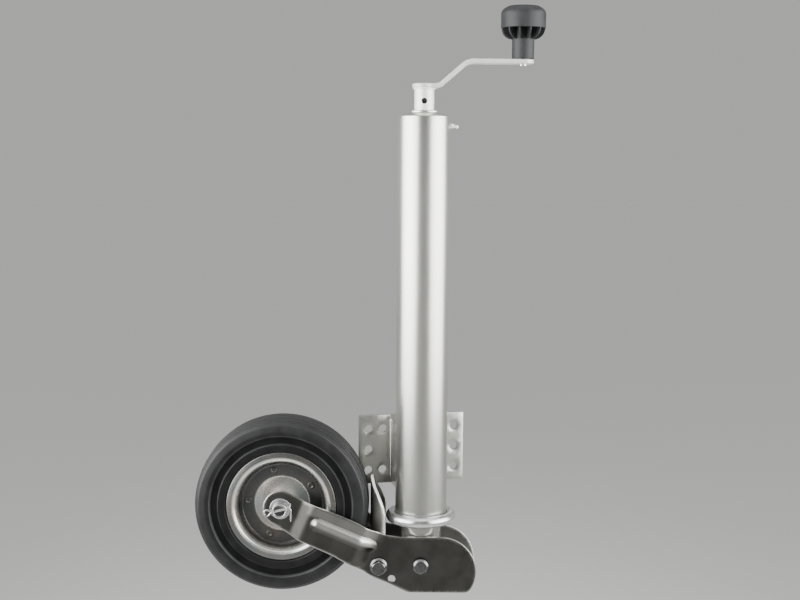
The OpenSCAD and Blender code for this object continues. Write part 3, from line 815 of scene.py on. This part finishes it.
def knob_body():
    """The stem, and the fins that carry the cap, each a quarter of an ellipse."""
    solids = [lathe(rounded([
        (STEM_BORE, 0, 0.3), (STEM_R - 0.2, 0, 0.8), (STEM_R, STEM_H, 0), (STEM_R - 1, CAP_FROM + 8, 0),
        (STEM_BORE, CAP_FROM + 8, 0),
    ]), 64)]
    wide, tall = KNOB_R - 0.7 - STEM_R, CAP_FROM - STEM_H
    blade = [(STEM_R - 3, STEM_H), (STEM_R, STEM_H)]
    blade += [
        (STEM_R + wide * math.sin(a), STEM_H + tall * (1 - math.cos(a)))
        for a in (math.radians(6 * i) for i in range(1, 16))
    ]
    blade += [(KNOB_R - 2.0, CAP_FROM + 5), (STEM_R - 3, CAP_FROM + 5)]
    for i in range(FINS):
        about = Matrix.Rotation(FULL_TURN * (i + 0.5) / FINS, 4, "Z")
        upright = about @ Matrix.Rotation(QUARTER, 4, "X")
        solids.append(moved(prism(blade, -FIN_HALF, FIN_HALF), upright))
    return joined(*solids)


def knob_cap():
    """The hollow top, open below."""
    wall = 2.6
    profile = rounded([
        (0, KNOB_H, 0), (KNOB_R - 9, KNOB_H - 0.7, 8), (KNOB_R, KNOB_H - 6.5, 12), (KNOB_R, CAP_FROM, 1.0),
        (KNOB_R - wall, CAP_FROM, 0.6), (KNOB_R - wall, KNOB_H - 4, 8), (0, KNOB_H - 3.6, 0),
    ], closed=False, steps=8)
    return lathe(profile, 96, closed=False)


piece("knob_stem", knob_body(), KNOB, "knob", "knob_black", ["knob_body"])
piece("knob_top", knob_cap(), KNOB, "knob", "knob_black", ["knob_cap"])

# Fork plates, in the arm's frame: X along the arm from the pivot, Y to the near side
ARM_LENGTH = (axle_at - pivot_at).length / MM
ARM_ANGLE = math.asin((axle_at.z - pivot_at.z) / (axle_at - pivot_at).length)
REACH_X = ARM_LENGTH * math.cos(ARM_ANGLE)
PIVOT_Z = (pivot_at.z - ground_z) / MM
AXLE_Z = (axle_at.z - ground_z) / MM
SHEET = 4
STOP = (-56.5, 37.0)
LOCK_HOLE = (-39.0, 19.5)


def along_arm(x, z):
    """A point of the side view, in the arm's own directions."""
    c, s = math.cos(ARM_ANGLE), math.sin(ARM_ANGLE)
    return -x * c + (z - PIVOT_Z) * s, x * s + (z - PIVOT_Z) * c


def fork_outline():
    """The plate's edge, from the side: foot, cam, top edge, the axle's eye and lower edge."""
    cam, cam_r, corner, eye_r = (27.5, 29.5), 47.5, 12, 23.5
    start = math.asin((corner - cam[1]) / (cam_r - corner))
    corner_x = cam[0] + (cam_r - corner) * math.cos(start)
    heel = arc(corner_x, corner, corner, -90, math.degrees(start), 10)
    heel += arc(*cam, cam_r, math.degrees(start), 90, 24)
    top = [
        (-27, 77, 14), (-47, 79.3, 40), (-67, 88.5, 60), (-83, 98, 60), (-105, 107.7, 60), (-155, 127, 80)
    ]
    tilt = math.degrees(ARM_ANGLE)
    eye = arc(-REACH_X, AXLE_Z, eye_r, 90 - tilt, 270 - tilt, 28)
    lower = [
        (-165, 75, 60), (-139, 63.5, 60), (-118, 54, 60), (-92, 39, 60), (-66, 22, 60), (-43, 12.5, 30)
    ]
    points = [(-17, 0, 20)] + [(*p, 0) for p in heel] + top + [(*p, 0) for p in eye] + lower
    return [along_arm(x, z) for x, z in rounded(points, steps=5)]


def band(a):
    """Half the gap between the plates' middles, at a along the arm, with soft bends."""
    bends, half_gaps = (0, 70, 88, 163, 181, 240), (31, 31, 42, 42, 37, 37)
    nearby = range(-3, 4)
    return sum(np.interp(a + d, bends, half_gaps) for d in nearby) / len(nearby)


BEAD_H = 4.5


def bead(a, p):
    """Height of the pressed bead, which runs out gently towards the pivot."""
    start, end, half_w, flank = 81, 150, 9.4, 7.4
    d = math.hypot(p, max(a - end, 0) + 0.5 * max(start - a, 0))
    t = min(max((half_w - d) / flank, 0), 1)
    return BEAD_H * math.sin(t * QUARTER) ** 1.7


def ease(value, start, end):
    """0 at start and 1 at end, with soft turns."""
    t = min(max((value - start) / (end - start), 0), 1)
    return t * t * (3 - 2 * t)


def fork_plate(side):
    """A pressed plate with its holes for the lock pin, axle, pivot and stop bolt."""
    holes = [
        [along_arm(*p) for p in circle(*at, r, 28)]
        for at, r in ((LOCK_HOLE, 4.25), ((-REACH_X, AXLE_Z), 10.1), ((0, PIVOT_Z), 8.1), (STOP, 5.1))
    ]

    def surface(a, p):
        return a, side * (band(a) + bead(a, p)), p

    def tone_mark(a, p, face):
        """On the outer face, a painted highlight on the upper half of the bead's crown, and a little painted
        light on the strip above it.
        """
        if face == side:
            return 0.0
        crown_highlight = 0.95 * (bead(a, p) / BEAD_H) ** 2 * ease(p, -3.5, 3)
        lit_strip = 0.29 * ease(p, 5, 11) * ease(a, 55, 85) * ease(a, 172, 158)
        return max(crown_highlight, lit_strip)

    return sheet(fork_outline(), holes, SHEET, surface, edge=1.0, grid=2.6, tone_mark=tone_mark)


piece("fork_plate_near_pressed", fork_plate(1), ARM, "fork", "fork_zinc", ["fork_plate_near"])
# The far plate takes the lighter copy of the fork's zinc: painted light
piece("fork_plate_far_pressed", fork_plate(-1), ARM, "fork", "bracket_zinc", ["fork_plate_far"])

# Tongue bracket
TONGUE_R, TONGUE_X = 36.2, -30.3


def tongue():
    """A plate that is half-round in plan, highest in the middle, with a tab between the fork plates."""

    def at(u, v):
        angle = u / TONGUE_R
        return TONGUE_X - TONGUE_R * math.cos(angle), TONGUE_R * math.sin(angle), v

    end_x, tab_half, low, tab_low, steps = -48.5, 28.6, 80.4, 60, 40
    edge_x, edge_z = (-68, -63.1, -55, -50.8, -49.5, end_x), (160, 142.8, 127.5, 117, 113, 107)
    end = TONGUE_R * math.acos((TONGUE_X - end_x) / TONGUE_R)
    tab = TONGUE_R * math.asin(tab_half / TONGUE_R)
    across = [end - 2 * end * i / steps for i in range(steps + 1)]
    top = [(u, float(np.interp(at(u, 0)[0], edge_x, edge_z))) for u in across]
    bottom = [(-end, low), (-tab, low), (-tab, tab_low), (tab, tab_low), (tab, low), (end, low)]
    return sheet(top + bottom, [], SHEET, at, edge=0.7, grid=3.0)


piece("tongue_bracket_plate", tongue(), FORK, "fork", "bracket_zinc", ["tongue_bracket"])

# Bolts and nuts, standing on Z = 0 in their own frames; the fork's near side is towards -Y
FORK_FACE = 33.0
NEAR, FAR = -1, 1
SHANK = 75.5


def on_fork(side, x, z):
    """The frame on a fork plate's outer face at x, z of the side view, with Z outwards."""
    place = Matrix.Translation((x, side * FORK_FACE, z)) @ Matrix.Rotation(-side * QUARTER, 4, "X")
    return FORK @ place


def pivot_bolt():
    """A low chamfered head with a shank through both plates."""
    profile = rounded([
        (0, 7, 0), (8.2, 7, 0.8), (10.8, 4.4, 0.8), (11, 0, 0.3), (8, 0, 0), (8, -SHANK, 1.2),
        (0, -SHANK - 0.7, 0),
    ], closed=False)
    return lathe(profile, 64, closed=False)


def stop_bolt():
    """A hexagon head on a flange, with a shank through both plates."""
    flange = lathe(rounded([
        (0, 4.4, 0), (9.2, 4.4, 0), (11.8, 2.4, 0.8), (12, 0, 0.3), (5, 0, 0), (5, -SHANK, 1),
        (0, -SHANK - 0.5, 0),
    ], closed=False), 64, closed=False)
    return joined(flange, moved(hexagon_head(17.2, 8.6), Matrix.Translation((0, 0, 3.4))))


pivot_nut, stop_nut = hexagon_head(23, 8, 8.05), hexagon_head(17, 8, 5.05)
piece("pivot_bolt_head", pivot_bolt(), on_fork(NEAR, 0, PIVOT_Z), "fork", "bolt_zinc", ["pivot_bolt"])
piece("stop_bolt_head", stop_bolt(), on_fork(NEAR, *STOP), "fork", "bolt_zinc", ["stop_bolt"])
piece("pivot_nut_hex", pivot_nut, on_fork(FAR, 0, PIVOT_Z), "fork", "bolt_zinc", ["pivot_nut"])
piece("stop_nut_hex", stop_nut, on_fork(FAR, *STOP), "fork", "bolt_zinc", ["stop_nut"])

# Axle, its washers and cotter pins
AXLE_HALF = 54
COTTER_AT, COTTER_TILT, COTTER_R = 48.5, math.radians(13), 1.6


def washers():
    ring = open_tube(10.1, 14, 39.1, 42.0, 0.5, 64)
    return joined(ring, moved(ring, Matrix.Rotation(HALF_TURN, 4, "Y")))


def smoothed(path, times=2):
    """The open path with each corner cut, times over, and its ends kept."""
    points = [Vector(p) for p in path]
    for _ in range(times):
        cut = [points[0]]
        for a, b in zip(points, points[1:]):
            cut += [a.lerp(b, 0.25), a.lerp(b, 0.75)]
        points = cut + [points[-1]]
    return points


def cotter_pin():
    """A split pin: an eye, a doubled shank through the axle, one leg bent down and one back."""
    half = COTTER_R * 0.52
    bent_down = [(14, -1.2), (14.2, -4), (12.8, -10), (10.9, -18)]
    bent_back = [(14.4, 1.4), (15.2, 3.6), (15.4, 6)]
    solids = []
    for side, leg in ((-1, bent_down), (1, bent_back)):
        path = [(x, y * side) for x, y in arc(-17.5, 0, 4, 180, 32, 14)]
        path += [(x, half * side) for x in (-13, 0, 12)] + leg
        solids.append(wire(smoothed([(x, y, 0) for x, y in path]), COTTER_R * 0.72, 10))
    place = Matrix.Translation((0, 0, COTTER_AT)) @ Matrix.Rotation(COTTER_TILT, 4, "Z")
    return moved(joined(*solids), place)


axle_tube = open_tube(7.5, 10, -AXLE_HALF, AXLE_HALF, 0.7, 64)
piece("axle_tube_end", axle_tube, AXLE, "fork", "bright_zinc", ["axle_tube"])
piece("axle_washer_pair", washers(), AXLE, "fork", "bright_zinc", ["axle_washers"])
piece("cotter_pin_near_wire", cotter_pin(), AXLE, "fork", "bright_zinc", ["cotter_pin_near"])
piece("cotter_pin_far_wire", cotter_pin(), AXLE_FAR, "fork", "bright_zinc", ["cotter_pin_far"])

# Wheel, about the axle: profiles of (radius, distance from the middle, corner's radius)
TYRE_R = AXLE_Z
TYRE_S = 35.0
RIM_R = 74.0
WEB_S = 12.0


def tread():
    """The crown from the shoulder to the middle, with fine grooves at the shoulder and wider ones inside."""
    shoulder, fine, wider = 26, (0.8, 0.5), (1.6, 1.1)
    points = []
    for s in (33.2, 30.6, 28.0, 24.6, 12, 0):
        r = TYRE_R - 1.2 * (s / 24) ** 2 - 2.4 * max(0, (s - 24) / 6) ** 1.6
        deep, wide = fine if s > shoulder else wider
        if s:
            points += [(r - 0.3, s + wide, 0.3), (r - deep, s + wide * 0.3, 0.2)]
            points += [(r - deep, s - wide * 0.3, 0.2), (r + 0.3, s - wide, 0.3)]
        else:
            points += [(r, wide, 0.3), (r - deep, wide * 0.4, 0.2)]
    return points


def tyre():
    """Solid rubber on the rim, with two steps in the sidewall."""
    half = [
        (60, 0, 0), (60, 17.5, 0), (62.4, 24.4, 1), (66, 28.9, 0.5), (73, 27.9, 0.3), (74.6, 28.2, 0.3),
        (74.6, TYRE_S - 4.4, 0.8), (76.5, TYRE_S - 3.3, 1), (84.6, TYRE_S - 2.2, 1.0),
        (86.0, TYRE_S - 4.6, 0.8), (94.8, TYRE_S - 4.2, 0.8), (96.4, TYRE_S - 0.7, 1.0), (102, TYRE_S, 8),
        (107.2, TYRE_S - 0.9, 3),
    ] + tread()
    other = [(r, -s, q) for r, s, q in half[:0:-1]]
    return lathe(rounded(half + other, steps=5), 192)


def rim_half():
    """A dished pressing: the lip on the tyre, the flank, the web and the hub's dish."""
    face = rounded([
        (RIM_R, 29.2, 0), (RIM_R - 0.6, 30.6, 1.4), (66.5, 31.6, 4), (62.4, 29.6, 3), (60.2, 25.5, 4),
        (57.2, 15.8, 4), (54, WEB_S, 3.5), (38.2, WEB_S, 0.8), (36.6, 10.2, 1.2), (26, 8.8, 6),
        (14.1, 7.6, 0),
    ], closed=False, steps=6)
    return lathe(thickened(face, 1.6), 160)


def rivets():
    """Five clinched rivets, each a shallow button with a dimple, on both faces, and its spacer."""
    count, first, from_axle, spacer_r, half = 5, 32, 46, 5, 10.2
    button = lathe(rounded([
        (0, WEB_S + 0.5, 0), (1.8, WEB_S + 0.5, 0.6), (2.6, WEB_S + 1.3, 0.6), (4.2, WEB_S + 1.3, 0.8),
        (5.4, WEB_S - 0.2, 0.6), (0, WEB_S - 0.4, 0),
    ], closed=False), 32, closed=False)
    spacer = lathe([(0, -half), (spacer_r, -half), (spacer_r, half), (0, half)], 32, closed=False)
    one = joined(button, moved(button, Matrix.Rotation(HALF_TURN, 4, "X")), spacer)
    out = Matrix.Translation((from_axle, 0, 0))
    places = [Matrix.Rotation(math.radians(first + 360 * i / count), 4, "Z") @ out for i in range(count)]
    return joined(*[moved(one, place) for place in places])


piece("tyre_solid", tyre(), AXLE, "wheel", "tyre_rubber", ["tyre"])
piece("rim_near", rim_half(), AXLE, "wheel", "rim_zinc", ["rim_half_near"])
piece("rim_far", rim_half(), AXLE_FAR, "wheel", "rim_zinc", ["rim_half_far"])
piece("rim_clinch_rivets", rivets(), AXLE, "wheel", "rim_zinc", ["rim_rivets"])


# ---------------------------------------------------------------- stage, lights and camera


# The floor lies below the wheel at full travel, so that it hides no pose
FLOOR_DROP = 0.535
FLOOR_HALF = 30.0
BACKGROUND = 0.455
BLUE = 0.985
STUDIO = foot @ turn
SOFTBOX_SPREAD = math.radians(110)
SKY_SIZE, SKY_TILT = math.radians(70), math.radians(8)


def floor():
    """A large sheet of matt pale paper."""
    mesh = bpy.data.meshes.new("floor")
    corners = ((-1, -1), (1, -1), (1, 1), (-1, 1))
    z = ground_z - FLOOR_DROP
    mesh.from_pydata([(x * FLOOR_HALF, y * FLOOR_HALF, z) for x, y in corners], [], [[0, 1, 2, 3]])
    mat = bpy.data.materials.new("floor_paper")
    mat.use_nodes = True
    shader = mat.node_tree.nodes["Principled BSDF"]
    shader.inputs["Base Color"].default_value = (0.52, 0.52, 0.515, 1)
    shader.inputs["Roughness"].default_value = 0.7
    mesh.materials.append(mat)
    obj = bpy.data.objects.new("floor", mesh)
    bpy.context.scene.collection.objects.link(obj)


def softbox(name, at, target, size, power):
    """A rectangular light aimed at target."""
    data = bpy.data.lights.new(name, "AREA")
    data.shape = "RECTANGLE"
    data.size, data.size_y = size
    data.energy = power
    data.spread = SOFTBOX_SPREAD
    obj = bpy.data.objects.new(name, data)
    obj.location = STUDIO @ Vector(at)
    aim = (STUDIO @ Vector(target)) - obj.location
    obj.rotation_euler = aim.to_track_quat("-Z", "Y").to_euler()
    bpy.context.scene.collection.objects.link(obj)


def sky():
    """A very soft light from above."""
    data = bpy.data.lights.new("sky", "SUN")
    data.energy = 1.8
    data.angle = SKY_SIZE
    obj = bpy.data.objects.new("sky", data)
    obj.matrix_world = turn @ Matrix.Rotation(SKY_TILT, 4, "X")
    bpy.context.scene.collection.objects.link(obj)


def world():
    """A studio dome: dim in front of the object, half lit at its sides, pale behind it.

    The camera sees it as one plain tone.
    """
    from_behind = ((0.0, 0.485), (0.30, 0.43), (0.50, 0.26), (0.75, 0.16), (0.93, 0.05))
    made = bpy.data.worlds.new("studio")
    made.use_nodes = True
    nodes, links = made.node_tree.nodes, made.node_tree.links
    place = nodes.new("ShaderNodeTexCoord")
    facing = nodes.new("ShaderNodeVectorMath")
    facing.operation = "DOT_PRODUCT"
    links.new(place.outputs["Generated"], facing.inputs[0])
    facing.inputs[1].default_value = turn.to_3x3() @ Vector((0, -0.5, 0))
    half = nodes.new("ShaderNodeMath")
    half.operation = "ADD"
    half.inputs[1].default_value = 0.5
    links.new(facing.outputs["Value"], half.inputs[0])
    dome = nodes.new("ShaderNodeValToRGB")
    dome.color_ramp.interpolation = "EASE"
    while len(dome.color_ramp.elements) < len(from_behind):
        dome.color_ramp.elements.new(0.5)
    for element, (at, level) in zip(dome.color_ramp.elements, from_behind):
        element.position = at
        element.color = (level, level, level * BLUE, 1)
    links.new(half.outputs["Value"], dome.inputs["Fac"])
    links.new(dome.outputs["Color"], nodes["Background"].inputs["Color"])
    plain = nodes.new("ShaderNodeBackground")
    plain.inputs["Color"].default_value = (BACKGROUND, BACKGROUND, BACKGROUND * BLUE, 1)
    seen = nodes.new("ShaderNodeLightPath")
    either = nodes.new("ShaderNodeMixShader")
    links.new(seen.outputs["Is Camera Ray"], either.inputs["Fac"])
    links.new(nodes["Background"].outputs["Background"], either.inputs[1])
    links.new(plain.outputs["Background"], either.inputs[2])
    links.new(either.outputs["Shader"], nodes["World Output"].inputs["Surface"])
    bpy.context.scene.world = made


def camera():
    """Level with the upper half of the tube, on the fork's near side, and looking a little down."""
    at, down, roll = (-0.0285, -1.719, 0.586), 6.4, 0.4
    data = bpy.data.cameras.new("camera")
    data.sensor_width, data.lens = 36, 58.05
    data.shift_x, data.shift_y = -0.0016, 0.0008
    obj = bpy.data.objects.new("camera", data)
    aim = Matrix.Rotation(math.radians(90 - down), 4, "X") @ Matrix.Rotation(math.radians(roll), 4, "Z")
    obj.matrix_world = STUDIO @ Matrix.Translation(at) @ aim
    bpy.context.scene.collection.objects.link(obj)
    bpy.context.scene.camera = obj


floor()
softbox("side_left", (-1.2, -0.55, 0.62), (0, 0, 0.36), (2.0, 1.5), 40)
softbox("side_right", (1.2, -0.5, 0.62), (0, 0, 0.36), (1.9, 1.5), 32)
sky()
world()
camera()
